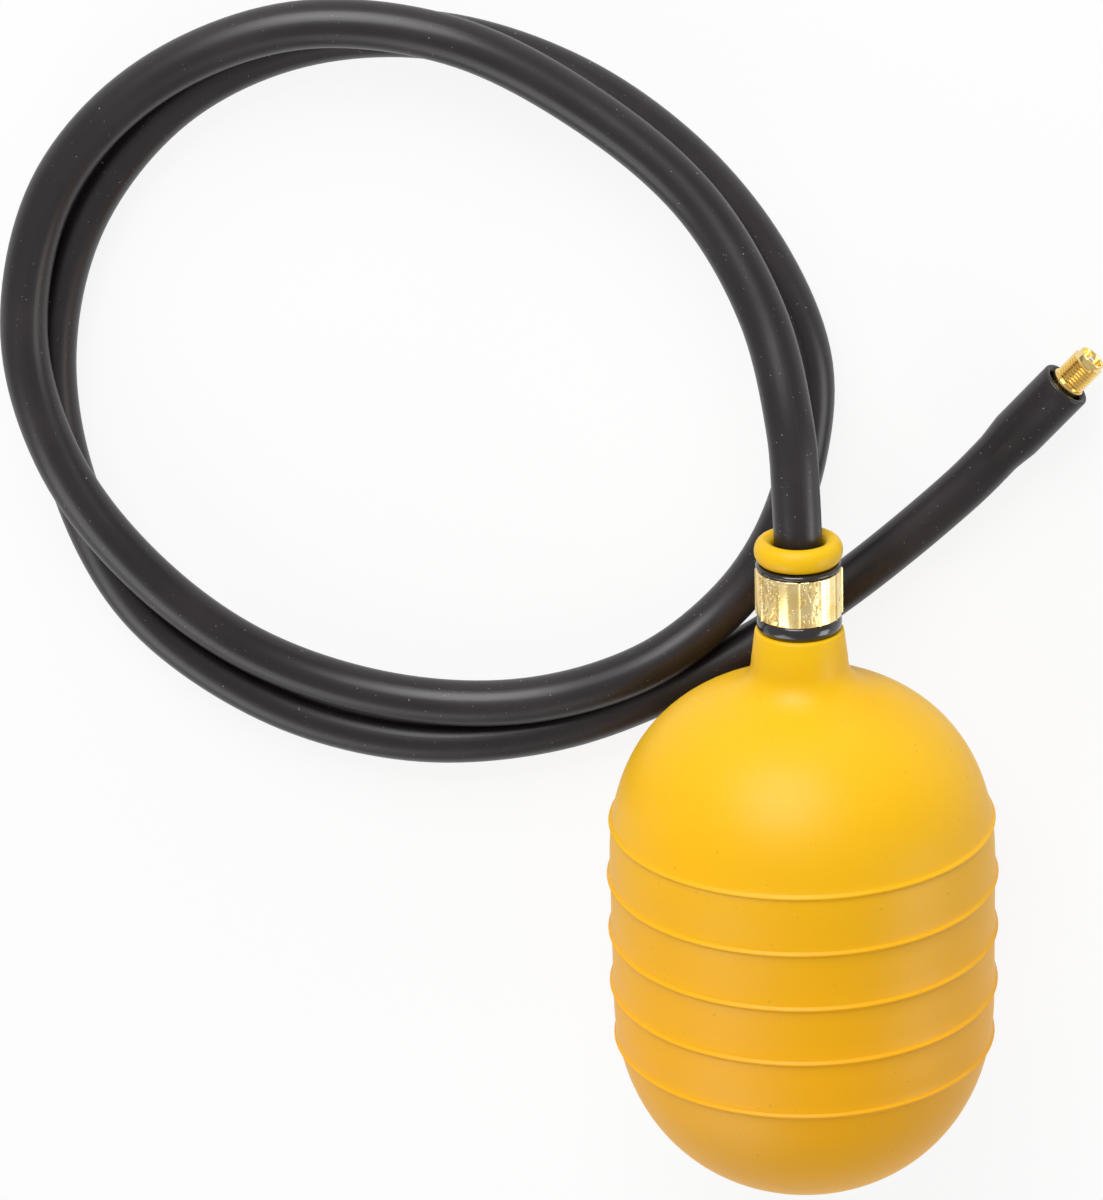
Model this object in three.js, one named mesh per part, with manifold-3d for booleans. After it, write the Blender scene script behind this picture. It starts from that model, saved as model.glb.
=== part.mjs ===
// An inflatable pipe plug: a ribbed rubber bladder, crimped to a hose with a tyre valve on its end.
// Millimetres, +Z up. The bladder lies on its side along Y, with its blind end at -Y and its mouth at +Y.
import * as THREE from 'three';
import { mergeVertices } from 'three/addons/utils/BufferGeometryUtils.js';
import Module from 'manifold-3d';

const wasm = await Module();
wasm.setup();

// Bladder: a dome, a straight middle with raised ribs, a round shoulder and a thick neck with a rolled rim.
const bladderRadius = 45.2;
const bladderWall = 5;
const domeTip = -81.8;
const domeDepth = 48.4;
const domeFullness = 2.18;
const shoulderStart = 1.5;
const shoulderDepth = 44.6;
const shoulderFullness = 2.3;
const bladderSides = 40;
const ribCount = 5;
const ribPitch = 13.9;
const firstRib = -43.5;
const ribHeight = 0.6;
const ribWidth = 1.7;
const ribSwell = 0.2;
const swellWidth = 8;
const blendRadius = 19;
const blendLength = 6;
const neckRadius = 11.2;
const neckTopRadius = 10.35;
const neckEdge = 0.4;
const rimRadius = 10.2;
const rimHeight = 5.9;
const rimClearance = 0.15;

// Crimp: a brass band squeezed over a rubber sleeve, the neck, the hose and a tube inside the hose.
const crimpStart = 63.2;
const ferruleLength = 11.3;
const ferruleRadius = 10.2;
const ferruleWall = 0.9;
const crimpFlats = 12;
const crimpDent = 0.35;
const sleeveWall = 1.5;
const lipRadius = 9.9;
const lowerLip = 3.5;
const upperLip = 1.4;
const fit = 0.3;

// Hose, and the support tube inside it under the crimp.
const hoseRadius = 5.55;
const hoseBore = 3;
const hoseSides = 10;
const hoseSteps = 72;
const cuffRadius = 6.25;
const cuffLength = 19.5;
const cuffFlare = 3;
const cuffRound = 0.5;
const cuffChamfer = 0.7;
const insertWall = 0.6;
const flangeRadius = 4.6;
const flangeHeight = 0.8;

// Valve on the hose's end: a tube with a ridged shank, a collar and a fine outer thread.
const shankRadius = 3.7;
const shankInset = 1.5;
const shankBore = 1.5;
const ridgeHeight = 0.5;
const ridgeCount = 4;
const ridgePitch = 3.75;
const ridgeRise = 2.6;
const collarRadius = 4.15;
const collarBase = 0.2;
const collarHeight = 0.7;
const threadRadius = 3.85;
const threadDepth = 0.42;
const threadPitch = 0.8;
const threadCount = 9;
const threadRunout = 0.2;
const tipLength = 9.2;
const tipRadius = 3.3;
const tipBand = 0.8;
const valveBore = 2.6;
const mouthChamfer = 0.2;
const chamberBore = 2;
const chamberEnd = -8;
const seatStart = 1.2;
const seatLength = 1.1;
const valveSides = 20;

// Valve core: a screw, a barrel with a gasket around it, and a sprung pin that carries the seal.
const coreFit = 0.15;
const plugTop = 6.8;
const plugLength = 3.2;
const plugChamfer = 0.2;
const keyWidth = 2.4;
const keyHeight = 1.6;
const barrelRadius = 1.65;
const barrelBore = 1.2;
const barrelLength = 5.4;
const barrelFloor = 1;
const barrelChamfer = 0.4;
const seatHole = 0.75;
const gasketRise = 0.25;
const gasketHeight = 0.7;
const pinRadius = 0.42;
const pinTravel = 1.2;
const pinStandOff = 0.8;
const pinHeadRadius = 0.85;
const pinHeadHeight = 0.7;
const pinChamfer = 0.2;
const pinFootRadius = 0.72;
const pinFootHeight = 0.4;
const shoulderHeight = 0.4;
const shoulderDrop = 0.35;
const seatGap = 0.1;
const sealRadius = 1.3;
const sealHeight = 0.6;
const cupFloor = 0.3;
const cupWall = 0.2;
const springTurns = 5;
const springWire = 0.34;

// The hose's centre line, chosen by hand: out of the mouth, over two loose turns on the floor, to the valve.
const hoseRoute = [
  [0, 57, 45.9], [0, 75, 45.9], [-0.4, 91, 45.5], [-1.5, 107, 43], [-7.5, 131, 33], [-22, 155, 24],
  [-46.5, 176, 18.8], [-77.5, 192.5, 17.6], [-113.5, 196, 16.6], [-147.5, 182.5, 15.2], [-170.5, 158, 15],
  [-179.5, 124, 16.7], [-173.5, 93, 17.8], [-156.5, 64, 14.4], [-131, 40.5, 10.4], [-98, 28, 9.8],
  [-65, 27, 11], [-36, 36.5, 12.2], [-17, 50, 8], [-6, 65, 5.8], [1.5, 87, 5.7], [3, 110, 5.7],
  [-6, 135, 5.7], [-24.5, 160, 5.7], [-51, 180, 5.7], [-82.5, 190.5, 5.7], [-115, 188.5, 5.7],
  [-143.5, 174.5, 5.7], [-165.5, 148, 5.7], [-175, 115, 5.7], [-172, 80.5, 5.7], [-158, 49.5, 5.7], [-128.5, 25.5, 5.7],
  [-95, 15, 5.7], [-60.5, 17, 5.7], [-29, 28.9, 5.7], [4, 48.6, 5.7], [38, 77.2, 5.8], [50.1, 90.2, 6.3],
  [62.9, 105.2, 9.4],
];

const rubberYellow = new THREE.MeshStandardMaterial({ color: 0xf0b81e, roughness: 0.5, metalness: 0 });
const rubberBlack = new THREE.MeshStandardMaterial({ color: 0x2b2728, roughness: 0.45, metalness: 0 });
const brass = new THREE.MeshStandardMaterial({ color: 0xd8b257, roughness: 0.25, metalness: 1 });
const steel = new THREE.MeshStandardMaterial({ color: 0xc4c6c8, roughness: 0.3, metalness: 1 });
const seatPolymer = new THREE.MeshStandardMaterial({ color: 0xb5342a, roughness: 0.55, metalness: 0 });

// The bladder lies on the lowest flat of its ribs, which puts its axis at this height above the floor.
const axisHeight = (bladderRadius + ribSwell + ribHeight) * Math.cos(Math.PI / bladderSides);

// Levels along the bladder: its mouth, and the sleeve's two ends.
const sleeveLow = crimpStart - lowerLip;
const sleeveHigh = crimpStart + ferruleLength + upperLip;
const mouth = sleeveHigh + rimHeight;

// Levels along the valve: the core's barrel, and the seal and its cup under it.
const barrelTop = plugTop - plugLength - coreFit;
const barrelFoot = barrelTop - barrelLength;
const springFoot = barrelFoot + barrelFloor;
const shoulderTop = barrelTop - shoulderDrop;
const sealTop = barrelFoot - seatGap;
const cupTop = sealTop - sealHeight / 2;
const cupBed = sealTop - sealHeight - seatGap;
const footTop = cupBed - cupFloor - seatGap;

// A closed outline of [radius, along] points, turned about the Y axis.
function turned(outline, sides) {
  const points = outline.map(([radius, along]) => new THREE.Vector2(radius, along));
  points.push(points[0].clone());
  return new THREE.LatheGeometry(points, sides, Math.PI / sides);
}

// An outline that starts and ends on the axis.
function turnedSolid(outline, sides) {
  const points = outline.map(([radius, along]) => new THREE.Vector2(radius, along));
  return new THREE.LatheGeometry(points, sides, Math.PI / sides);
}

// A regular outline, as a Shape for an outer edge or as a Path for a hole.
function polygon(Kind, radius, sides) {
  const outline = new Kind();
  for (let i = 0; i < sides; i++) {
    const angle = (i / sides) * 2 * Math.PI;
    outline[i ? 'lineTo' : 'moveTo'](radius * Math.cos(angle), radius * Math.sin(angle));
  }
  outline.closePath();
  return outline;
}

function solidOf(geometry) {
  const bare = geometry.clone();
  bare.deleteAttribute('normal');
  bare.deleteAttribute('uv');
  const welded = mergeVertices(bare, 1e-4);
  return new wasm.Manifold(new wasm.Mesh({
    numProp: 3,
    vertProperties: new Float32Array(welded.attributes.position.array),
    triVerts: new Uint32Array(welded.index.array),
  }));
}

function geometryOf(solid) {
  const mesh = solid.getMesh();
  const geometry = new THREE.BufferGeometry();
  geometry.setAttribute('position', new THREE.BufferAttribute(mesh.vertProperties, 3));
  geometry.setIndex(new THREE.BufferAttribute(mesh.triVerts, 1));
  geometry.computeVertexNormals();
  return geometry;
}

function piece(name, geometry, material) {
  const mesh = new THREE.Mesh(geometry, material);
  mesh.name = name;
  return mesh;
}

// The bladder's radius along its length, before ribs: a full dome, a straight middle and a full shoulder.
function bodyRadius(along, shrink = 0) {
  const domeStart = domeTip + domeDepth;
  const part = (reach, depth, fullness) => {
    const share = Math.min(reach / (depth - shrink), 1);
    return (bladderRadius - shrink) * (1 - share ** fullness) ** (1 / fullness);
  };
  if (along < domeStart) return part(domeStart - along, domeDepth, domeFullness);
  if (along > shoulderStart) return part(along - shoulderStart, shoulderDepth, shoulderFullness);
  return bladderRadius - shrink;
}

function ribCentres() {
  return Array.from({ length: ribCount }, (_, index) => firstRib + index * ribPitch);
}

function besideRibs(along) {
  return ribCentres().every((centre) => Math.abs(along - centre) > swellWidth / 2);
}

// Each rib is a thin ridge on a low swell of the skin.
function ribOutline(centre) {
  const profile = [
    [-swellWidth / 2, 0], [-ribWidth / 2, ribSwell], [0, ribSwell + ribHeight], [ribWidth / 2, ribSwell],
    [swellWidth / 2, 0],
  ];
  return profile.map(([offset, height]) => [bodyRadius(centre + offset) + height, centre + offset]);
}

function ribbedOutline() {
  const stations = 11;
  const points = [[0, domeTip], ...ribCentres().flatMap(ribOutline)];
  for (let i = 1; i <= stations; i++) {
    const turn = (i / stations) * (Math.PI / 2);
    const onDome = domeTip + domeDepth * (1 - Math.cos(turn));
    const onShoulder = shoulderStart + shoulderDepth * Math.sin(turn);
    if (besideRibs(onDome)) points.push([bodyRadius(onDome), onDome]);
    if (besideRibs(onShoulder) && bodyRadius(onShoulder) > blendRadius) {
      points.push([bodyRadius(onShoulder), onShoulder]);
    }
  }
  return points.sort((a, b) => a[1] - b[1]);
}

// From the shoulder a smooth curve, tangent to it, runs into the neck, which narrows up to the sleeve.
function neckOutline() {
  const size = blendRadius / bladderRadius;
  const reach = (1 - size ** shoulderFullness) ** (1 / shoulderFullness);
  const slope = (shoulderDepth / bladderRadius) * (size / reach) ** (shoulderFullness - 1);
  const start = new THREE.Vector2(blendRadius, shoulderStart + shoulderDepth * reach);
  const corner = new THREE.Vector2(neckRadius, start.y + (blendRadius - neckRadius) * slope);
  const end = new THREE.Vector2(neckRadius, corner.y + blendLength);
  const curve = new THREE.QuadraticBezierCurve(start, corner, end);
  const waist = ferruleRadius - ferruleWall - sleeveWall - 2 * fit;
  return [
    ...curve.getPoints(6).map((point) => point.toArray()),
    [neckTopRadius, sleeveLow - fit - neckEdge], [neckTopRadius - neckEdge, sleeveLow - fit],
    [waist, sleeveLow - fit], [waist, sleeveHigh + fit],
  ];
}

// The rolled rim is an oval bead, which closes round the hose at its middle.
function rimOutline() {
  const neckBore = hoseRadius + fit;
  const mouthRadius = neckBore + rimClearance;
  const middle = (rimRadius + mouthRadius) / 2;
  const halfWidth = (rimRadius - mouthRadius) / 2;
  const startAngle = -Math.PI / 3;
  const stations = 7;
  const points = [];
  for (let i = 0; i <= stations; i++) {
    const turn = startAngle + (i / stations) * (Math.PI - startAngle);
    points.push([middle + halfWidth * Math.cos(turn), mouth - (rimHeight / 2) * (1 - Math.sin(turn))]);
  }
  points.push([neckBore, sleeveHigh]);
  return points;
}

// Inside, the cavity follows the skin one wall deep and opens through the neck's bore.
function cavityOutline() {
  const stations = 7;
  const points = [[hoseRadius + fit, shoulderStart + shoulderDepth - bladderWall]];
  for (let i = stations - 1; i >= 0; i--) {
    const turn = (i / stations) * (Math.PI / 2);
    const along = shoulderStart + (shoulderDepth - bladderWall) * Math.sin(turn);
    points.push([bodyRadius(along, bladderWall), along]);
  }
  for (let i = 0; i < stations; i++) {
    const turn = (i / stations) * (Math.PI / 2);
    const along = domeTip + domeDepth - (domeDepth - bladderWall) * Math.sin(turn);
    points.push([bodyRadius(along, bladderWall), along]);
  }
  points.push([0, domeTip + bladderWall]);
  return points;
}

function bladder() {
  const outline = [...ribbedOutline(), ...neckOutline(), ...rimOutline(), ...cavityOutline()];
  return piece('bladder', turnedSolid(outline, bladderSides), rubberYellow);
}

// A rubber sleeve under the ferrule, whose ends bulge out as round lips above and below it.
function neckSleeve() {
  const inner = ferruleRadius - ferruleWall - sleeveWall - fit;
  const outer = ferruleRadius - ferruleWall - fit;
  const lip = (low, high) => [-90, -60, -20, 20, 60, 90].map((degrees) => {
    const turn = THREE.MathUtils.degToRad(degrees);
    const along = (low + high) / 2 + ((high - low) / 2) * Math.sin(turn);
    return [outer + (lipRadius - outer) * Math.cos(turn), along];
  });
  const outline = [
    [inner, sleeveLow], ...lip(sleeveLow, crimpStart - fit),
    ...lip(crimpStart + ferruleLength + fit, sleeveHigh), [inner, sleeveHigh],
  ];
  return piece('neck_sleeve', turned(outline, 28), rubberBlack);
}

// The band's outer face has the flats of the crimping jaws, with a low ridge between two jaws.
function crimpFerrule() {
  const stepsPerFlat = 4;
  const steps = crimpFlats * stepsPerFlat;
  const section = new THREE.Shape();
  for (let i = 0; i < steps; i++) {
    const angle = (i / steps) * 2 * Math.PI;
    const radius = ferruleRadius - (i % stepsPerFlat ? crimpDent : 0);
    section[i ? 'lineTo' : 'moveTo'](radius * Math.cos(angle), radius * Math.sin(angle));
  }
  section.closePath();
  section.holes.push(polygon(THREE.Path, ferruleRadius - ferruleWall, steps));
  const band = new THREE.ExtrudeGeometry(section, { depth: ferruleLength, bevelEnabled: false });
  band.rotateX(-Math.PI / 2).translate(0, crimpStart, 0);
  return piece('crimp_ferrule', band, brass);
}

// A flanged tube that keeps the hose open under the crimp. Its flange covers the hose's inner end.
function hoseInsert() {
  const outer = hoseBore - fit;
  const start = hoseRoute[0][1] - fit;
  const end = crimpStart + ferruleLength;
  const outline = [
    [outer - insertWall, start - flangeHeight], [flangeRadius, start - flangeHeight], [flangeRadius, start],
    [outer, start], [outer, end], [outer - insertWall, end],
  ];
  return piece('hose_insert', turned(outline, 24), brass);
}

// The hose along its route, with a bore, and a cuff where its end is stretched over the valve's shank.
function hose() {
  const points = hoseRoute.map((point) => new THREE.Vector3(...point));
  const extrudePath = new THREE.CatmullRomCurve3(points, false, 'centripetal');
  const section = polygon(THREE.Shape, hoseRadius, hoseSides);
  section.holes.push(polygon(THREE.Path, hoseBore, hoseSides));
  const tube = new THREE.ExtrudeGeometry(section, { steps: hoseSteps, extrudePath, bevelEnabled: false });
  const stretched = shankRadius + ridgeHeight + fit;
  const room = [
    [hoseBore, -cuffLength], [stretched, -cuffLength + shankInset / 2], [stretched, -cuffChamfer],
    [stretched + cuffChamfer, 0],
  ];
  const cuff = turned([
    [hoseBore, -cuffLength - cuffFlare], [hoseRadius, -cuffLength - cuffFlare], [cuffRadius, -cuffLength],
    [cuffRadius, -cuffRound], [cuffRadius - cuffRound, 0], ...room.toReversed(),
  ], valveSides);
  const bore = turnedSolid([[0, -cuffLength], ...room, [stretched + cuffChamfer, 1], [0, 1]], valveSides);
  cuff.applyMatrix4(valvePlace());
  bore.applyMatrix4(valvePlace());
  const whole = solidOf(tube).add(solidOf(cuff)).subtract(solidOf(bore));
  return piece('hose', geometryOf(whole), rubberBlack);
}

// The valve's own axis is Y, with zero at the hose's end face: this puts it there, in line with the hose.
function valvePlace() {
  const [before, end] = hoseRoute.slice(-2).map((point) => new THREE.Vector3(...point));
  const direction = end.clone().sub(before).normalize();
  const turn = new THREE.Quaternion().setFromUnitVectors(new THREE.Vector3(0, 1, 0), direction);
  return new THREE.Matrix4().compose(end, turn, new THREE.Vector3(1, 1, 1));
}

function valveStem() {
  const shankStart = shankInset - cuffLength;
  const threadRoot = threadRadius - threadDepth;
  const outline = [[shankBore, shankStart], [shankRadius - fit, shankStart]];
  for (let i = 0; i < ridgeCount; i++) {
    const start = shankStart + fit + i * ridgePitch;
    outline.push([shankRadius, start], [shankRadius + ridgeHeight, start + ridgeRise]);
    outline.push([shankRadius, start + ridgeRise]);
  }
  outline.push([shankRadius, collarBase], [collarRadius, collarBase]);
  outline.push([collarRadius, collarBase + collarHeight], [threadRoot, collarBase + collarHeight]);
  for (let i = 0; i < threadCount; i++) {
    const start = collarBase + collarHeight + threadRunout + i * threadPitch;
    outline.push([threadRoot, start], [threadRadius, start + threadPitch / 2]);
  }
  outline.push([threadRoot, tipLength - tipBand - threadRunout], [tipRadius, tipLength - tipBand]);
  outline.push([tipRadius, tipLength], [valveBore + mouthChamfer, tipLength]);
  outline.push([valveBore, tipLength - 2 * mouthChamfer], [valveBore, seatStart + seatLength]);
  outline.push([chamberBore, seatStart], [chamberBore, chamberEnd], [shankBore, chamberEnd - 1]);
  return piece('valve_stem', turned(outline, valveSides), brass);
}

// The core's screw: its head has two flats for the valve key, and the pin passes through it.
function corePlug() {
  const outer = valveBore - coreFit;
  const hole = pinRadius + coreFit;
  const body = turned([
    [hole, plugTop - plugLength], [outer, plugTop - plugLength], [outer, plugTop - keyHeight],
    [outer - plugChamfer, plugTop], [hole, plugTop],
  ], valveSides);
  let solid = solidOf(body);
  for (const side of [-1, 1]) {
    const cut = new THREE.BoxGeometry(valveBore, keyHeight * 2, 4 * valveBore);
    cut.translate(side * (keyWidth / 2 + valveBore / 2), plugTop, 0);
    solid = solid.subtract(solidOf(cut));
  }
  return piece('core_plug', geometryOf(solid), brass);
}

// The core's barrel hangs under the screw. It holds the spring, and its lower end is the valve's seat.
function coreBarrel() {
  const outline = [
    [seatHole, barrelFoot], [barrelRadius - barrelChamfer, barrelFoot],
    [barrelRadius, barrelFoot + barrelChamfer], [barrelRadius, barrelTop], [barrelBore, barrelTop],
    [barrelBore, springFoot], [seatHole, springFoot],
  ];
  return piece('core_barrel', turned(outline, valveSides), brass);
}

// A tapered ring on the barrel, which seals it against the stem's inner cone.
function coreGasket() {
  const inner = barrelRadius + coreFit;
  const low = seatStart + gasketRise;
  const high = seatStart + seatLength;
  const lowRadius = chamberBore + (valveBore - chamberBore) * (gasketRise / seatLength) - coreFit;
  const outline = [
    [inner, low], [lowRadius, low], [valveBore - coreFit, high], [valveBore - coreFit, high + gasketHeight],
    [inner, high + gasketHeight],
  ];
  return piece('core_gasket', turned(outline, valveSides), seatPolymer);
}

// The pin, with a flat head to press on, a shoulder for the spring and a foot that carries the seal's cup.
function valvePin() {
  const top = plugTop + pinTravel + pinStandOff;
  const shoulderRadius = barrelBore - coreFit;
  const outline = [
    [0, footTop - pinFootHeight], [pinFootRadius, footTop - pinFootHeight], [pinFootRadius, footTop],
    [pinRadius, footTop], [pinRadius, shoulderTop - shoulderHeight],
    [shoulderRadius, shoulderTop - shoulderHeight], [shoulderRadius, shoulderTop], [pinRadius, shoulderTop],
    [pinRadius, top - pinHeadHeight], [pinHeadRadius, top - pinHeadHeight + pinChamfer],
    [pinHeadRadius, top - pinChamfer], [pinHeadRadius - pinChamfer, top], [0, top],
  ];
  return piece('valve_pin', turnedSolid(outline, 16), steel);
}

function pinSeal() {
  const hole = pinRadius + seatGap;
  const outline = [
    [hole, sealTop - sealHeight], [sealRadius, sealTop - sealHeight], [sealRadius, sealTop], [hole, sealTop],
  ];
  return piece('pin_seal', turned(outline, valveSides), rubberBlack);
}

function pinCup() {
  const hole = pinRadius + seatGap;
  const inner = sealRadius + seatGap;
  const outline = [
    [hole, cupBed - cupFloor], [inner, cupBed - cupFloor], [inner + cupWall, cupBed],
    [inner + cupWall, cupTop], [inner, cupTop], [inner, cupBed], [hole, cupBed],
  ];
  return piece('pin_cup', turned(outline, valveSides), brass);
}

// The return spring, between the barrel's floor and the pin's shoulder.
function valveSpring() {
  const low = springFoot + seatGap + springWire / 2;
  const high = shoulderTop - shoulderHeight - seatGap - springWire / 2;
  const coilRadius = (pinRadius + barrelBore) / 2;
  class Coil extends THREE.Curve {
    getPoint(share, target = new THREE.Vector3()) {
      const angle = share * springTurns * 2 * Math.PI;
      const along = low + share * (high - low);
      return target.set(coilRadius * Math.cos(angle), along, coilRadius * Math.sin(angle));
    }
  }
  const wire = polygon(THREE.Shape, springWire / 2, 5);
  const steps = springTurns * 10;
  const coil = new THREE.ExtrudeGeometry(wire, { steps, extrudePath: new Coil(), bevelEnabled: false });
  return piece('valve_spring', coil, steel);
}

const lying = new THREE.Group();
lying.position.z = axisHeight;
lying.add(bladder(), neckSleeve(), crimpFerrule(), hoseInsert());

const valve = new THREE.Group();
valve.applyMatrix4(valvePlace());
valve.add(valveStem(), corePlug(), coreBarrel(), coreGasket());
valve.add(valvePin(), pinSeal(), pinCup(), valveSpring());

const plug = new THREE.Group();
plug.name = 'inflatable_pipe_plug';
plug.add(lying, hose(), valve);

export default plug;
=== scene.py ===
"""An inflatable pipe plug: a ribbed yellow bladder crimped to a black hose with a brass tyre valve."""

import math

import bmesh
import bpy
from mathutils import Matrix, Quaternion, Vector


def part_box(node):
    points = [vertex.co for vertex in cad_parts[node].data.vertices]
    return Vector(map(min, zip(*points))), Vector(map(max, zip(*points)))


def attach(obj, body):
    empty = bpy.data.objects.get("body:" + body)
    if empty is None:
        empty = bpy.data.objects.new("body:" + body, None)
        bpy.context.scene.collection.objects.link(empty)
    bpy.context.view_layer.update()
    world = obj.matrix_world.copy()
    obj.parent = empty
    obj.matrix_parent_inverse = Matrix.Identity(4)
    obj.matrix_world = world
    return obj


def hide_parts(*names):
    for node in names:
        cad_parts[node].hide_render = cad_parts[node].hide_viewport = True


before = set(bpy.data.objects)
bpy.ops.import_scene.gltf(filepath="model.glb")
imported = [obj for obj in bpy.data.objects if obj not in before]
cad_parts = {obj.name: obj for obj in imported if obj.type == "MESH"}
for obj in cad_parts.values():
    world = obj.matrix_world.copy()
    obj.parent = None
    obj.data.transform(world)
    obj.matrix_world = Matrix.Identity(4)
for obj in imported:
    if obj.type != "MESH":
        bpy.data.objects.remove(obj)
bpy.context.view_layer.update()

# The camera looks down on the plug from the hose's side of it, so that the bladder's mouth faces it a little.
# Its place is in metres, and the picture's top points along the bladder's axis.
MM = 0.001
CAMERA_PLACE = Vector((0.0, 0.4566, 1.004))
CAMERA_TARGET = Vector((-0.0596, 0.0485, 0.0))
CAMERA_ROLL = math.radians(-172.98)
CAMERA_LENS = 135.0

camera = bpy.data.objects.new("camera", bpy.data.cameras.new("camera"))
bpy.context.collection.objects.link(camera)
camera.location = CAMERA_PLACE
look = (CAMERA_TARGET - CAMERA_PLACE).to_track_quat("-Z", "Y")
camera.rotation_euler = (look @ Quaternion((0, 0, 1), CAMERA_ROLL)).to_euler()
camera.data.lens = CAMERA_LENS
camera.data.clip_start = 0.01
bpy.context.scene.camera = camera

# The inflation hose is one length of satin black rubber, 11.1 mm across. Its bare end is stretched over the
# valve's shank and stands open around it. It lies where the solid does, on the same route.
HOSE_RADIUS = 5.55 * MM
CUFF_RADIUS = 6.25 * MM
CUFF_BORE = 4.5 * MM
CUFF_LENGTH = 19.5 * MM
CUFF_FLARE = 3 * MM
CUFF_DEPTH = 7 * MM
HOSE_SIDES = 40
HOSE_STEP = 3 * MM
CURVE_PARTS = 24
SHARP_EDGE = math.radians(40)
HOSE_COLOUR = (0.0135, 0.0105, 0.0125)
HOSE_WORN = (0.029, 0.022, 0.025)
HOSE_DUST = (0.3, 0.28, 0.27)
HOSE_ROUTE = [
    (0, 57, 45.9), (0, 75, 45.9), (-0.4, 91, 45.5), (-1.5, 107, 43), (-7.5, 131, 33), (-22, 155, 24),
    (-46.5, 176, 18.8), (-77.5, 192.5, 17.6), (-113.5, 196, 16.6), (-147.5, 182.5, 15.2), (-170.5, 158, 15),
    (-179.5, 124, 16.7), (-173.5, 93, 17.8), (-156.5, 64, 14.4), (-131, 40.5, 10.4), (-98, 28, 9.8),
    (-65, 27, 11), (-36, 36.5, 12.2), (-17, 50, 8), (-6, 65, 5.8), (1.5, 87, 5.7), (3, 110, 5.7),
    (-6, 135, 5.7), (-24.5, 160, 5.7), (-51, 180, 5.7), (-82.5, 190.5, 5.7), (-115, 188.5, 5.7),
    (-143.5, 174.5, 5.7), (-165.5, 148, 5.7), (-175, 115, 5.7), (-172, 80.5, 5.7), (-158, 49.5, 5.7),
    (-128.5, 25.5, 5.7), (-95, 15, 5.7), (-60.5, 17, 5.7), (-29, 28.9, 5.7), (4, 48.6, 5.7),
    (38, 77.2, 5.8), (50.1, 90.2, 6.3), (62.9, 105.2, 9.4),
]


class Socket:
    """A node's output, on which Python's operators add Math nodes."""

    def __init__(self, paint, output):
        self.paint = paint
        self.output = output

    def math(self, operation, *values):
        return self.paint.node("ShaderNodeMath", {"operation": operation}, dict(enumerate(values)))

    def __add__(self, other):
        return self.math("ADD", self, other)

    def __radd__(self, other):
        return self.math("ADD", other, self)

    def __sub__(self, other):
        return self.math("SUBTRACT", self, other)

    def __mul__(self, other):
        return self.math("MULTIPLY", self, other)

    def absolute(self):
        return self.math("ABSOLUTE", self)

    def capped(self):
        return self.math("MINIMUM", self, 1.0)

    def smooth(self, low, high):
        """Zero below low, one above high, and smooth between them."""
        return self.paint.node(
            "ShaderNodeMapRange", {"interpolation_type": "SMOOTHSTEP"},
            {"Value": self, "From Min": low, "From Max": high},
        )


class Paint:
    """A new material with one Principled shader, and methods that add the nodes in front of it."""

    def __init__(self, name, **constants):
        self.material = bpy.data.materials.new(name)
        self.material.use_nodes = True
        self.tree = self.material.node_tree
        self.shader = self.tree.nodes["Principled BSDF"]
        for socket, value in constants.items():
            self.shader.inputs[socket.replace("_", " ")].default_value = value
        self.place = self.node("ShaderNodeTexCoord", {}, {}, output="Object")

    def node(self, kind, settings, inputs, output=0):
        node = self.tree.nodes.new(kind)
        for name, value in settings.items():
            setattr(node, name, value)
        for name, value in inputs.items():
            if isinstance(value, Socket):
                self.tree.links.new(value.output, node.inputs[name])
            elif isinstance(value, tuple) and len(value) == 3 and node.inputs[name].type == "RGBA":
                node.inputs[name].default_value = (*value, 1)
            else:
                node.inputs[name].default_value = value
        return Socket(self, node.outputs[output])

    def along(self, axis):
        return self.node("ShaderNodeSeparateXYZ", {}, {"Vector": self.place}, output=axis)

    def sees(self, ray):
        return self.node("ShaderNodeLightPath", {}, {}, output=ray)

    def noise(self, scale, detail=3.0, stretch=(1, 1, 1), place=None):
        spot = self.node("ShaderNodeMapping", {}, {"Vector": place or self.place, "Scale": stretch})
        return self.node("ShaderNodeTexNoise", {}, {"Vector": spot, "Scale": scale, "Detail": detail})

    def blend(self, share, first, second):
        return self.node(
            "ShaderNodeMix", {"data_type": "RGBA"}, {"Factor": share, 6: first, 7: second}, output=2,
        )

    def bump(self, height, distance, strength=1.0, under=None):
        inputs = {"Height": height, "Distance": distance, "Strength": strength}
        if under is not None:
            inputs["Normal"] = under
        return self.node("ShaderNodeBump", {}, inputs)

    def feed(self, **sockets):
        for name, value in sockets.items():
            self.tree.links.new(value.output, self.shader.inputs[name.replace("_", " ")])
        return self.material


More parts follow.
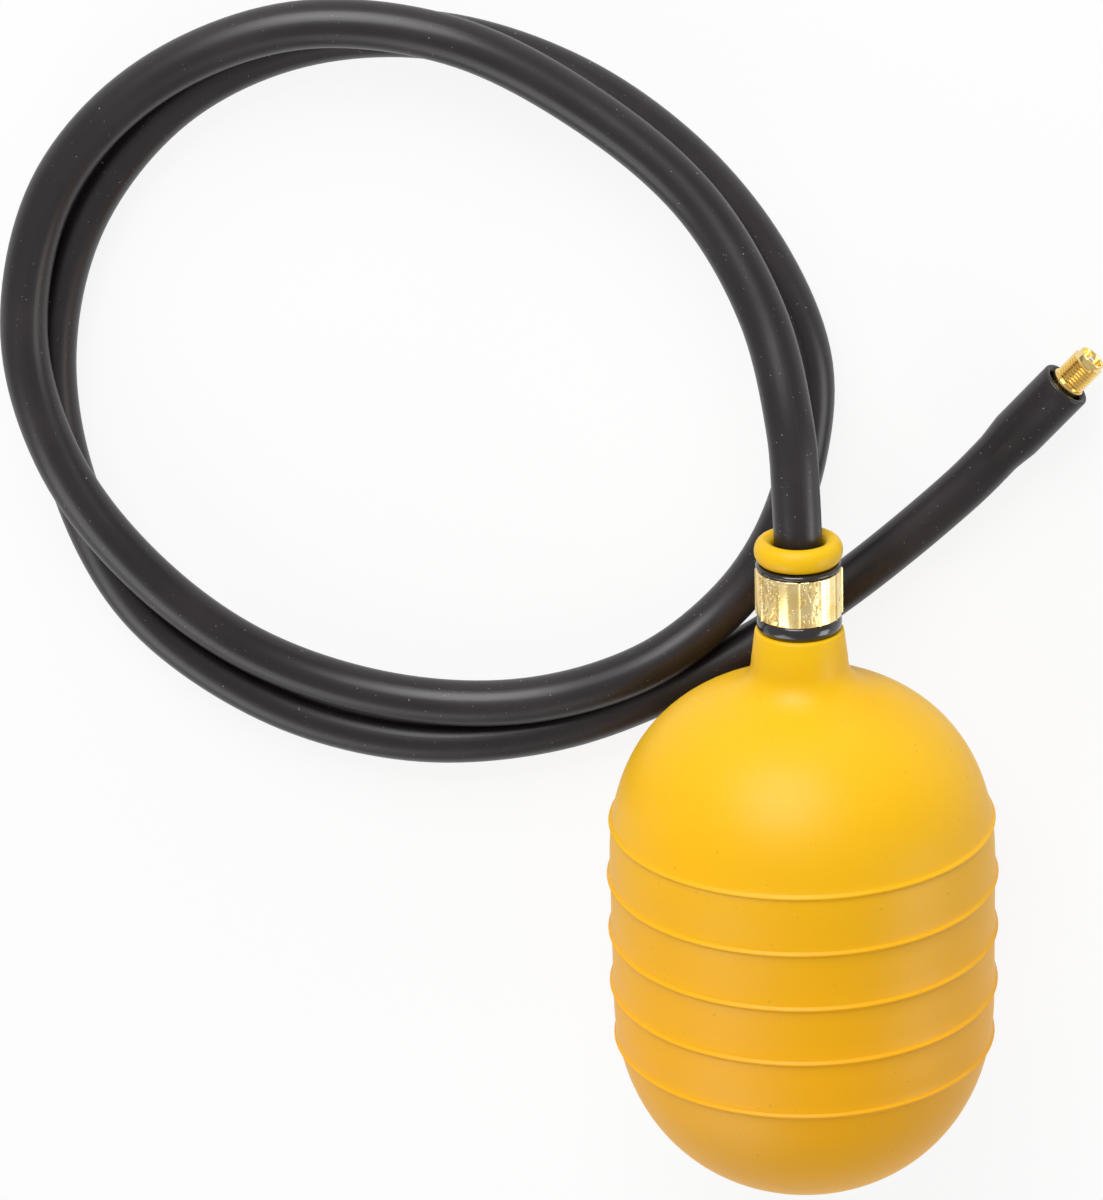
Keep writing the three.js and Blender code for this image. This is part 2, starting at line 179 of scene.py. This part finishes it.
def smooth_route(points, step):
    """Even stations along a centripetal curve through the points."""
    points = [Vector(point) * MM for point in points]
    ends = [points[0] * 2 - points[1], *points, points[-1] * 2 - points[-2]]
    dense = []
    for a, b, c, d in zip(ends, ends[1:], ends[2:], ends[3:]):
        t1 = (b - a).length ** 0.5
        t2 = t1 + (c - b).length ** 0.5
        t3 = t2 + (d - c).length ** 0.5
        for part in range(CURVE_PARTS):
            t = t1 + (t2 - t1) * part / CURVE_PARTS
            ab = a.lerp(b, t / t1)
            bc = b.lerp(c, (t - t1) / (t2 - t1))
            cd = c.lerp(d, (t - t2) / (t3 - t2))
            abc = ab.lerp(bc, t / t2)
            bcd = bc.lerp(cd, (t - t1) / (t3 - t1))
            dense.append(abc.lerp(bcd, (t - t1) / (t2 - t1)))
    dense.append(points[-1])
    walked = [0.0]
    for a, b in zip(dense, dense[1:]):
        walked.append(walked[-1] + (b - a).length)
    count = round(walked[-1] / step)
    stations = []
    at = 0
    for i in range(count + 1):
        goal = walked[-1] * i / count
        while at < len(dense) - 2 and walked[at + 1] < goal:
            at += 1
        share = (goal - walked[at]) / (walked[at + 1] - walked[at])
        stations.append(dense[at].lerp(dense[at + 1], min(share, 1)))
    return stations, walked[-1]


def finished(name, mesh, material, body="plug"):
    """Closes the bmesh into an object on its body with its finish, smooth shaded between sharp edges."""
    data = bpy.data.meshes.new(name)
    mesh.to_mesh(data)
    mesh.free()
    data.materials.append(material)
    for face in data.polygons:
        face.use_smooth = True
    data.set_sharp_from_angle(angle=SHARP_EDGE)
    thing = bpy.data.objects.new(name, data)
    bpy.context.collection.objects.link(thing)
    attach(thing, body)
    return thing


def extruded(mesh, edges, move):
    """The edge ring extruded once, with its new copy moved by the matrix."""
    grown = bmesh.ops.extrude_edge_only(mesh, edges=edges)["geom"]
    verts = [part for part in grown if isinstance(part, bmesh.types.BMVert)]
    bmesh.ops.transform(mesh, matrix=move, verts=verts)
    return verts, [part for part in grown if isinstance(part, bmesh.types.BMEdge)]


def swept_hose(stations, radii, end_profile):
    """A tube through the stations, then through rings of (radius, along) past the last one, down the bore.

    Its vertices keep how they lie around the hose and along it, so that the finish can follow its length.
    """
    mesh = bmesh.new()
    drawn = mesh.verts.layers.float_vector.new("drawn")
    direction = (stations[1] - stations[0]).normalized()
    start = direction.to_track_quat("Z", "Y").to_matrix().to_4x4()
    start.translation = stations[0]
    ring = bmesh.ops.create_circle(mesh, cap_ends=False, segments=HOSE_SIDES, radius=radii[0])["verts"]
    for vert in ring:
        vert[drawn] = vert.co / radii[0]
    bmesh.ops.transform(mesh, matrix=start, verts=ring)
    edges = list({edge for vert in ring for edge in vert.link_edges})
    ways = [after - before for before, after in zip(stations, stations[2:])]
    rings = list(zip(stations[1:-1], radii[1:-1], ways))
    last_way = (stations[-1] - stations[-2]).normalized()
    rings += [(stations[-1] + last_way * along, radius, last_way) for radius, along in end_profile]
    centre, radius, walked = stations[0], radii[0], 0.0
    for next_centre, next_radius, way in rings:
        turn = direction.rotation_difference(way.normalized()).to_matrix().to_4x4()
        grown = Matrix.Scale(next_radius / radius, 4)
        move = Matrix.Translation(next_centre) @ turn @ grown @ Matrix.Translation(-centre)
        verts, edges = extruded(mesh, edges, move)
        walked += (next_centre - centre).length
        for vert in verts:
            vert[drawn].z = walked / HOSE_RADIUS
        centre, radius, direction = next_centre, next_radius, way.normalized()
    bmesh.ops.recalc_face_normals(mesh, faces=mesh.faces)
    return mesh


hose_line, hose_length = smooth_route(HOSE_ROUTE, HOSE_STEP)
hose_radii = []
for index in range(len(hose_line)):
    to_end = hose_length * (1 - index / (len(hose_line) - 1))
    swell = min(max((CUFF_LENGTH + CUFF_FLARE - to_end) / CUFF_FLARE, 0), 1)
    hose_radii.append(HOSE_RADIUS + (CUFF_RADIUS - HOSE_RADIUS) * swell * swell * (3 - 2 * swell))
cut_end = [
    (CUFF_RADIUS, -0.55 * MM), (CUFF_RADIUS - 0.07 * MM, -0.25 * MM), (CUFF_RADIUS - 0.22 * MM, -0.07 * MM),
    (CUFF_RADIUS - 0.45 * MM, 0), (CUFF_BORE + 0.85 * MM, 0), (CUFF_BORE + 0.7 * MM, -0.06 * MM),
    (CUFF_BORE + 0.1 * MM, -0.75 * MM), (CUFF_BORE, -1.1 * MM), (CUFF_BORE, -CUFF_DEPTH),
]
hose_mesh = swept_hose(hose_line, hose_radii, cut_end)

hose_paint = Paint("hose_rubber", Specular_IOR_Level=0.4)
hose_way = hose_paint.node("ShaderNodeAttribute", {"attribute_name": "drawn"}, {}, output="Vector")
hose_cloud = hose_paint.noise(45, 4)
hose_streak = hose_paint.noise(2.6, 3, (1, 1, 0.02), hose_way)
hose_line_marks = hose_paint.noise(9, 2, (1, 1, 0.012), hose_way)
hose_dust = hose_paint.noise(1500, 1)
hose_fine = hose_paint.noise(2600, 2)
hose_colour = hose_paint.blend(hose_cloud.smooth(0.4, 0.75) * 0.6, HOSE_COLOUR, HOSE_WORN)
hose_colour = hose_paint.blend(hose_streak.smooth(0.55, 0.8) * 0.35, hose_colour, HOSE_WORN)
hose_colour = hose_paint.blend(hose_dust.smooth(0.76, 0.79) * 0.8, hose_colour, HOSE_DUST)
hose_rough = 0.27 + hose_cloud * 0.08 + hose_streak * 0.1
hose_height = hose_streak * 0.7 + hose_line_marks * 0.3
hose_bump = hose_paint.bump(hose_height, 0.0002, 0.3)
hose_bump = hose_paint.bump(hose_fine, 0.00002, 0.25, hose_bump)
hose_rubber = hose_paint.feed(Base_Color=hose_colour, Roughness=hose_rough, Normal=hose_bump)
hose = finished("hose_tube", hose_mesh, hose_rubber)
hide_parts("hose")

# The bladder is one hollow moulding of smooth yellow rubber, with five fine ribs around its middle, a thick
# neck and a rolled rim. It is turned as one skin about its axis, and only its mouth is open, around the hose.
# Its yellow is painted paler towards the neck as painted light on its lit side. These sizes are in
# millimetres.
BLADDER_SIDES = 160
STATION_STEP = 0.9
BLADDER_RADIUS = 45.2
DOME_TIP = -81.8
DOME_DEPTH = 48.4
DOME_FULLNESS = 2.18
SHOULDER_START = 1.5
SHOULDER_DEPTH = 44.6
SHOULDER_FULLNESS = 2.3
RIBS = [-43.5 + 13.9 * step for step in range(5)]
RIB_HEIGHT = 0.6
RIB_REACH = 0.85
RIB_SWELL = 0.2
SWELL_REACH = 4.0
BLEND_RADIUS = 19.0
BLEND_LENGTH = 6.0
NECK_RADIUS = 11.2
NECK_TOP_RADIUS = 10.35
WAIST_RADIUS = 7.3
FERRULE_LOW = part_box("crimp_ferrule")[0].y / MM
FERRULE_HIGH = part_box("crimp_ferrule")[1].y / MM
SLEEVE_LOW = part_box("neck_sleeve")[0].y / MM
SLEEVE_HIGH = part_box("neck_sleeve")[1].y / MM
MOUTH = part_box("bladder")[1].y / MM
RIM_RADIUS = 10.2
RIM_BORE = 5.8
RIM_FIT = 0.05
BORE_SHOWN = 14
AXIS_HEIGHT = (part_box("bladder")[0].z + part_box("bladder")[1].z) / 2
YELLOW = (0.88, 0.415, 0.003)
YELLOW_PAINTED_LIT = (0.82, 0.51, 0.003)
YELLOW_DEEP = (0.84, 0.41, 0.002)
YELLOW_SOILED = (0.5, 0.22, 0.01)
PAINTED_LIGHT_FROM = -45 * MM
PAINTED_LIGHT_FULL_AT = 90 * MM


def turned(outline, sides, closed=False):
    """A mesh turned from [radius, along] points in millimetres about the bladder's axis."""
    mesh = bmesh.new()
    verts = [mesh.verts.new((radius * MM, along * MM, 0)) for radius, along in outline]
    loop = verts + verts[:1] if closed else verts
    edges = [mesh.edges.new(pair) for pair in zip(loop, loop[1:])]
    bmesh.ops.spin(
        mesh, geom=verts + edges, axis=(0, 1, 0), angle=2 * math.pi, steps=sides, use_merge=True,
    )
    bmesh.ops.remove_doubles(mesh, verts=mesh.verts, dist=1e-7)
    bmesh.ops.recalc_face_normals(mesh, faces=mesh.faces)
    return mesh


def raised(mesh):
    """Moves a piece turned about Y up to the bladder's axis."""
    bmesh.ops.translate(mesh, vec=(0, 0, AXIS_HEIGHT), verts=mesh.verts)
    return mesh


def body_radius(along):
    if along < DOME_TIP + DOME_DEPTH:
        share, full = (DOME_TIP + DOME_DEPTH - along) / DOME_DEPTH, DOME_FULLNESS
    elif along > SHOULDER_START:
        share, full = (along - SHOULDER_START) / SHOULDER_DEPTH, SHOULDER_FULLNESS
    else:
        return BLADDER_RADIUS
    return BLADDER_RADIUS * max(1 - min(share, 1) ** full, 0) ** (1 / full)


def rib_rise(along):
    """How far the skin stands proud here: each rib is a thin ridge on a low swell."""
    off = min(abs(along - centre) for centre in RIBS)
    wave = [0.5 + 0.5 * math.cos(math.pi * min(off / reach, 1)) for reach in (SWELL_REACH, RIB_REACH)]
    return RIB_SWELL * wave[0] + RIB_HEIGHT * wave[1]


def neck_blend(steps):
    """From the shoulder a smooth curve, tangent to it, runs into the neck."""
    size = BLEND_RADIUS / BLADDER_RADIUS
    reach = (1 - size ** SHOULDER_FULLNESS) ** (1 / SHOULDER_FULLNESS)
    slope = SHOULDER_DEPTH / BLADDER_RADIUS * (size / reach) ** (SHOULDER_FULLNESS - 1)
    start = Vector((BLEND_RADIUS, SHOULDER_START + SHOULDER_DEPTH * reach))
    corner = Vector((NECK_RADIUS, start.y + (BLEND_RADIUS - NECK_RADIUS) * slope))
    end = corner + Vector((0, BLEND_LENGTH))
    shares = [step / steps for step in range(steps + 1)]
    return [start.lerp(corner, share).lerp(corner.lerp(end, share), share) for share in shares]


def bladder_outline():
    stations = [DOME_TIP + DOME_DEPTH * (1 - math.cos(turn * math.pi / 64)) for turn in range(1, 32)]
    stations += [DOME_TIP + DOME_DEPTH + STATION_STEP * step for step in range(39)]
    stations += [SHOULDER_START + SHOULDER_DEPTH * math.sin(turn * math.pi / 64) for turn in range(1, 32)]
    stations = [spot for spot in stations if all(abs(spot - centre) > RIB_REACH for centre in RIBS)]
    stations += [centre + RIB_REACH * step / 6 for centre in RIBS for step in range(-6, 7)]
    outline = [(0.0, DOME_TIP)]
    for along in sorted(stations):
        if along < 0 or body_radius(along) > BLEND_RADIUS:
            outline.append((body_radius(along) + rib_rise(along), along))
    outline += [tuple(point) for point in neck_blend(12)]
    outline += [
        (NECK_TOP_RADIUS, SLEEVE_LOW - 0.8), (NECK_TOP_RADIUS - 0.15, SLEEVE_LOW - 0.4),
        (NECK_TOP_RADIUS - 0.5, SLEEVE_LOW - 0.15), (WAIST_RADIUS, SLEEVE_LOW - 0.1),
        (WAIST_RADIUS, SLEEVE_HIGH + 0.1),
    ]
    middle = (RIM_RADIUS + RIM_BORE) / 2
    half = (RIM_RADIUS - RIM_BORE) / 2
    for step in range(19):
        turn = math.pi * (-1 / 3 + step / 18 * 4 / 3)
        along = (MOUTH + SLEEVE_HIGH) / 2 + (MOUTH - SLEEVE_HIGH) / 2 * math.sin(turn)
        outline.append((middle + half * math.cos(turn), along))
    outline += [(RIM_BORE + RIM_FIT, MOUTH - 4), (RIM_BORE + RIM_FIT, MOUTH - BORE_SHOWN)]
    return outline


bladder_mesh = raised(turned(bladder_outline(), BLADDER_SIDES))
bladder_paint = Paint(
    "yellow_rubber", Specular_IOR_Level=0.3, Subsurface_Weight=0.08, Subsurface_Radius=(0.004, 0.002, 0.0006),
)
bladder_cloud = bladder_paint.noise(22, 3)
bladder_mottle = bladder_paint.noise(320, 4)
bladder_grain = bladder_paint.noise(3200, 2)
bladder_fleck = bladder_paint.noise(700, 1)
# Painted light: the yellow turns paler towards the neck, the side that faces the key lamp.
bladder_painted_light = bladder_paint.along("Y").smooth(PAINTED_LIGHT_FROM, PAINTED_LIGHT_FULL_AT)
bladder_colour = bladder_paint.blend(bladder_painted_light, YELLOW, YELLOW_PAINTED_LIT)
bladder_colour = bladder_paint.blend(bladder_cloud.smooth(0.3, 0.75) * 0.35, bladder_colour, YELLOW_DEEP)
bladder_colour = bladder_paint.blend(bladder_fleck.smooth(0.74, 0.8) * 0.35, bladder_colour, YELLOW_SOILED)
bladder_rough = 0.4 + bladder_mottle * 0.12
bladder_bump = bladder_paint.bump(bladder_mottle, 0.00005, 0.25)
bladder_bump = bladder_paint.bump(bladder_grain, 0.00002, 0.25, bladder_bump)
yellow_rubber = bladder_paint.feed(Base_Color=bladder_colour, Roughness=bladder_rough, Normal=bladder_bump)
bladder = finished("bladder_skin", bladder_mesh, yellow_rubber)
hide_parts("bladder")

# A glossy black rubber sleeve lies between the neck and the ferrule. The crimp squeezes its ends out, so
# that a rounded lip stands below and above the brass.
LIP_RADIUS = 9.9
SLEEVE_RADIUS = 9.1
SLEEVE_BORE = 7.5
SLEEVE_SIDES = 128
SLEEVE_BLACK = (0.012, 0.01, 0.012)


def lip(low, high):
    """The half oval of one lip, from its lower end to its upper end."""
    turns = [math.pi * (step / 12 - 0.5) for step in range(13)]
    return [
        (
            SLEEVE_RADIUS + (LIP_RADIUS - SLEEVE_RADIUS) * math.cos(turn),
            (low + high) / 2 + (high - low) / 2 * math.sin(turn),
        )
        for turn in turns
    ]


sleeve_outline = [
    (SLEEVE_BORE, SLEEVE_LOW), *lip(SLEEVE_LOW, FERRULE_LOW - 0.05), *lip(FERRULE_HIGH + 0.05, SLEEVE_HIGH),
    (SLEEVE_BORE, SLEEVE_HIGH),
]
sleeve_paint = Paint("sleeve_rubber", Base_Color=(*SLEEVE_BLACK, 1), Coat_Weight=0.4)
sleeve_wave = sleeve_paint.noise(300, 3)
sleeve_rubber = sleeve_paint.feed(
    Roughness=0.12 + sleeve_wave * 0.16, Normal=sleeve_paint.bump(sleeve_wave, 0.0002, 0.35),
)
sleeve_mesh = raised(turned(sleeve_outline, SLEEVE_SIDES, closed=True))
sleeve = finished("sleeve_ring", sleeve_mesh, sleeve_rubber)
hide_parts("neck_sleeve")

# The ferrule is a band of bright brass. The jaws of the crimping tool leave flats around it, with a ridge
# between two jaws, two patches of scuffs and pits that also carry a painted dark reflection, and one row of
# small dents along the band.
FERRULE_RADIUS = 10.2
FERRULE_BORE = 9.3
FERRULE_EDGE = 0.25
JAWS = 12
JAW_DENT = 0.35
RIDGE_FROM = 0.84
FLATNESS = 0.3
FERRULE_SIDES = 192
LEFT_PATCH_TURN = -0.85
RIGHT_PATCH_TURN = 0.25
DOT_ROW_TURN = 0.72
DOT_PITCH = 0.9 * MM
BRASS = (0.9, 0.66, 0.25)
BRASS_PALE = (0.95, 0.78, 0.42)
BRASS_DARK = (0.4, 0.23, 0.07)

ferrule_paint = Paint("ferrule_brass", Metallic=1.0)
ferrule_x = ferrule_paint.along("X")
around = ferrule_x.math("ARCTAN2", ferrule_x, ferrule_paint.along("Z") - AXIS_HEIGHT)
# The patches' darkening is partly pits and scuffs and partly a painted dark reflection.
left_patch = (around - LEFT_PATCH_TURN).absolute().smooth(0.42, 0.28)
right_patch = (around - RIGHT_PATCH_TURN).absolute().smooth(0.22, 0.14)
patches = left_patch.math("MAXIMUM", left_patch, right_patch * 0.7)
ferrule_cloud = ferrule_paint.noise(260, 3)
ferrule_chips = ferrule_paint.noise(950, 2, (1, 0.75, 1))
ferrule_lines = ferrule_paint.noise(1, 2, (90, 1500, 90))
chips_and_painted_reflection = ferrule_chips.smooth(0.5, 0.6) * patches
strays = ferrule_paint.noise(620, 1).smooth(0.68, 0.72)
dot_row = (around - DOT_ROW_TURN).absolute().smooth(0.035, 0.02)
dot_turn = ferrule_paint.along("Y") * (2 * math.pi / DOT_PITCH)
dot_wave = ferrule_paint.node("ShaderNodeMath", {"operation": "SINE"}, {0: dot_turn})
dots = dot_row * dot_wave.smooth(0, 0.7)
marks_and_painted_reflection = (chips_and_painted_reflection + strays + dots * 0.8).capped()
ferrule_colour = ferrule_paint.blend(ferrule_cloud.smooth(0.35, 0.7), BRASS, BRASS_PALE)
ferrule_colour = ferrule_paint.blend(marks_and_painted_reflection * 0.45, ferrule_colour, BRASS_DARK)
ferrule_height = ferrule_cloud * 0.5 - marks_and_painted_reflection * 0.6 + ferrule_lines * 0.12
ferrule_brass = ferrule_paint.feed(
    Base_Color=ferrule_colour, Roughness=0.19 + ferrule_cloud * 0.12 + marks_and_painted_reflection * 0.1,
    Normal=ferrule_paint.bump(ferrule_height, 0.0003, 0.6),
)
band = [(FERRULE_BORE, FERRULE_LOW)]
for step in range(5):
    turn = step / 4 * math.pi / 2
    inset = FERRULE_EDGE * (1 - math.sin(turn))
    band.append((FERRULE_RADIUS - inset, FERRULE_LOW + FERRULE_EDGE * (1 - math.cos(turn))))
band += [(radius, FERRULE_LOW + FERRULE_HIGH - along) for radius, along in reversed(band)]
ferrule_mesh = turned(band, FERRULE_SIDES, closed=True)
for vert in ferrule_mesh.verts:
    radius = math.hypot(vert.co.x, vert.co.z)
    between_jaws = abs((math.atan2(vert.co.z, vert.co.x) * JAWS / (2 * math.pi)) % 1 - 0.5) * 2
    if radius > (FERRULE_BORE + FERRULE_RADIUS) / 2 * MM:
        flat = math.cos(math.pi / JAWS) / math.cos((1 - between_jaws) * math.pi / JAWS)
        ridge = max(between_jaws - RIDGE_FROM, 0) / (1 - RIDGE_FROM)
        shrink = 1 - (JAW_DENT * (1 - ridge * ridge) * MM + (1 - flat) * radius * FLATNESS) / radius
        vert.co.x *= shrink
        vert.co.z *= shrink
ferrule = finished("ferrule_band", raised(ferrule_mesh), ferrule_brass)
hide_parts("crimp_ferrule")

# The tyre valve is turned from brass: a collar at the hose's end, a fine thread, a smooth tip with a
# chamfered mouth, and a ridged shank inside the hose. Its own axis is Y, from zero at the hose's end face.
VALVE_WAY = Vector(HOSE_ROUTE[-1]) - Vector(HOSE_ROUTE[-2])
VALVE_TURN = Vector((0, 1, 0)).rotation_difference(VALVE_WAY)
VALVE_PLACE = Matrix.Translation(Vector(HOSE_ROUTE[-1]) * MM) @ VALVE_TURN.to_matrix().to_4x4()
COLLAR_RADIUS = 4.15
COLLAR_LOW = 0.2
COLLAR_HIGH = 0.9
THREAD_ROOT = 3.34
THREAD_CREST = 3.85
THREAD_PITCH = 0.8
THREAD_TURNS = 8.2
TIP_RADIUS = 3.35
TIP_LENGTH = 9.2
VALVE_BORE = 2.6
SHANK_RADIUS = 3.7
SHANK_RIDGE = 4.2
SHANK_START = -18.0
SHANK_PITCH = 3.75
SHANK_RIDGES = 4
RIDGE_SLOPE = 2.6
STEM_SIDES = 96
THREAD_STEPS = 48

valve_paint = Paint("valve_brass", Metallic=1.0)
valve_cloud = valve_paint.noise(400, 3)
valve_turning = valve_paint.noise(2500, 2)
valve_colour = valve_paint.blend(valve_cloud.smooth(0.35, 0.7) * 0.5, BRASS, BRASS_PALE)
valve_brass = valve_paint.feed(
    Base_Color=valve_colour, Roughness=0.13 + valve_cloud * 0.1,
    Normal=valve_paint.bump(valve_turning, 0.00001, 0.3),
)
stem_outline = [(1.5, SHANK_START), (SHANK_RADIUS - 0.3, SHANK_START)]
for ridge in range(SHANK_RIDGES):
    foot = SHANK_START + 0.3 + ridge * SHANK_PITCH
    crest = foot + RIDGE_SLOPE
    stem_outline += [(SHANK_RADIUS, foot), (SHANK_RIDGE, crest), (SHANK_RADIUS, crest + 0.05)]
stem_outline += [
    (SHANK_RADIUS, COLLAR_LOW), (COLLAR_RADIUS - 0.12, COLLAR_LOW), (COLLAR_RADIUS, COLLAR_LOW + 0.12),
    (COLLAR_RADIUS, COLLAR_HIGH - 0.15), (COLLAR_RADIUS - 0.15, COLLAR_HIGH),
    (THREAD_ROOT, COLLAR_HIGH + 0.02), (THREAD_ROOT, TIP_LENGTH - 1.25), (TIP_RADIUS, TIP_LENGTH - 1.1),
    (TIP_RADIUS, TIP_LENGTH - 0.2), (TIP_RADIUS - 0.06, TIP_LENGTH - 0.06), (TIP_RADIUS - 0.2, TIP_LENGTH),
    (VALVE_BORE + 0.25, TIP_LENGTH), (VALVE_BORE + 0.12, TIP_LENGTH - 0.06), (VALVE_BORE, TIP_LENGTH - 0.35),
    (VALVE_BORE, 2.3), (2.0, 1.2), (2.0, -8), (1.5, -9),
]
stem_mesh = turned(stem_outline, STEM_SIDES, closed=True)
bmesh.ops.transform(stem_mesh, matrix=VALVE_PLACE, verts=stem_mesh.verts)
valve_stem = finished("stem_body", stem_mesh, valve_brass)
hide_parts("valve_stem")

thread_mesh = bmesh.new()
half_pitch = THREAD_PITCH / 2
section = [
    (THREAD_ROOT - 0.1, -half_pitch), (THREAD_ROOT, -half_pitch + 0.04), (THREAD_CREST, -0.07),
    (THREAD_CREST, 0.07), (THREAD_ROOT, half_pitch - 0.04), (THREAD_ROOT - 0.1, half_pitch),
]
start = COLLAR_HIGH + half_pitch
thread_verts = [thread_mesh.verts.new((radius * MM, (start + along) * MM, 0)) for radius, along in section]
thread_face = thread_mesh.faces.new(thread_verts)
bmesh.ops.spin(
    thread_mesh, geom=[thread_face], cent=(0, 0, 0), axis=(0, 1, 0), angle=-2 * math.pi * THREAD_TURNS,
    steps=round(THREAD_STEPS * THREAD_TURNS), dvec=(0, THREAD_PITCH * MM / THREAD_STEPS, 0),
)
bmesh.ops.recalc_face_normals(thread_mesh, faces=thread_mesh.faces)
bmesh.ops.transform(thread_mesh, matrix=VALVE_PLACE, verts=thread_mesh.verts)
valve_thread = finished("stem_thread", thread_mesh, valve_brass)

# The valve's core shows its bright pin in the mouth, with the core's screw around it. The core's pieces and
# the hose's insert keep their solids' shapes and take only their finish.
PIN_STEEL = (0.78, 0.77, 0.74)
pin_paint = Paint("pin_steel", Metallic=1.0, Base_Color=(*PIN_STEEL, 1))
pin_wear = pin_paint.noise(2500, 3)
pin_steel = pin_paint.feed(Roughness=0.14 + pin_wear * 0.2, Normal=pin_paint.bump(pin_wear, 0.00002, 0.4))
gasket_paint = Paint("gasket_polymer", Base_Color=(0.42, 0.03, 0.02, 1))
gasket_grain = gasket_paint.noise(1800, 3)
gasket_polymer = gasket_paint.feed(
    Roughness=0.4 + gasket_grain * 0.25, Normal=gasket_paint.bump(gasket_grain, 0.00002, 0.4),
)
finishes = {
    "hose_insert": valve_brass, "core_plug": valve_brass, "core_barrel": valve_brass, "pin_cup": valve_brass,
    "core_gasket": gasket_polymer, "pin_seal": hose_rubber, "valve_pin": pin_steel, "valve_spring": pin_steel,
}
for name, finish in finishes.items():
    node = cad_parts[name]
    node.data.materials.clear()
    node.data.materials.append(finish)

# The studio is a white floor that shows as white to the camera and in reflections but keeps soft shadows,
# and a dim even surround that is brighter where metal mirrors it. Broad soft lamps stand on three sides, so
# that dark rubber reflects little from above.
FLOOR_SIZE = 4
FLOOR_DROP = 0.2 * MM
FLOOR_SHADOW_SHARE = 0.12
SURROUND = 0.16
MIRRORED_SURROUND = 0.58

floor_mesh = bmesh.new()
bmesh.ops.create_grid(floor_mesh, x_segments=1, y_segments=1, size=FLOOR_SIZE)
floor_data = bpy.data.meshes.new("floor")
floor_mesh.to_mesh(floor_data)
floor_mesh.free()
floor = bpy.data.objects.new("floor", floor_data)
bpy.context.collection.objects.link(floor)
floor_paint = Paint("floor_white", Base_Color=(0.85, 0.85, 0.85, 1), Roughness=0.9, Specular_IOR_Level=0.1)
camera_rays = floor_paint.sees("Is Camera Ray")
mirror_rays = floor_paint.sees("Is Glossy Ray")
clear_rays = floor_paint.sees("Is Transmission Ray")
white = floor_paint.node("ShaderNodeEmission", {}, {"Color": (1.0, 1.0, 1.0), "Strength": 1.0})
seen = (camera_rays + mirror_rays + clear_rays).capped()
mixed = floor_paint.node("ShaderNodeMixShader", {}, {0: seen * (1 - FLOOR_SHADOW_SHARE)})
floor_tree = floor_paint.tree
floor_tree.links.new(floor_paint.shader.outputs[0], mixed.output.node.inputs[1])
floor_tree.links.new(white.output, mixed.output.node.inputs[2])
floor_tree.links.new(mixed.output, floor_tree.nodes["Material Output"].inputs["Surface"])
floor_data.materials.append(floor_paint.material)
floor.location.z = -FLOOR_DROP

world = bpy.data.worlds.new("studio")
world.use_nodes = True
world_nodes = world.node_tree.nodes
world_nodes["Background"].inputs["Color"].default_value = (1, 1, 1, 1)
world_rays = world_nodes.new("ShaderNodeLightPath")
world_level = world_nodes.new("ShaderNodeMapRange")
world_level.inputs["To Min"].default_value = SURROUND
world_level.inputs["To Max"].default_value = MIRRORED_SURROUND
world.node_tree.links.new(world_rays.outputs["Is Glossy Ray"], world_level.inputs["Value"])
world.node_tree.links.new(world_level.outputs["Result"], world_nodes["Background"].inputs["Strength"])
bpy.context.scene.world = world


def soft_lamp(name, place, target, size, power):
    """A square area lamp that points at the target."""
    data = bpy.data.lights.new(name, "AREA")
    data.size = size
    data.energy = power
    lamp = bpy.data.objects.new(name, data)
    lamp.location = place
    lamp.rotation_euler = (Vector(target) - Vector(place)).to_track_quat("-Z", "Y").to_euler()
    bpy.context.collection.objects.link(lamp)


soft_lamp("key", (-0.25, 1.15, 0.8), (-0.05, 0.05, 0.03), 0.9, 21)
soft_lamp("fill", (-0.8, -0.95, 0.75), (-0.03, 0.0, 0.03), 1.0, 9.5)
soft_lamp("edge", (1.1, -0.35, 0.45), (0.0, 0.05, 0.03), 0.6, 5)
bpy.context.scene.view_settings.view_transform = "Standard"
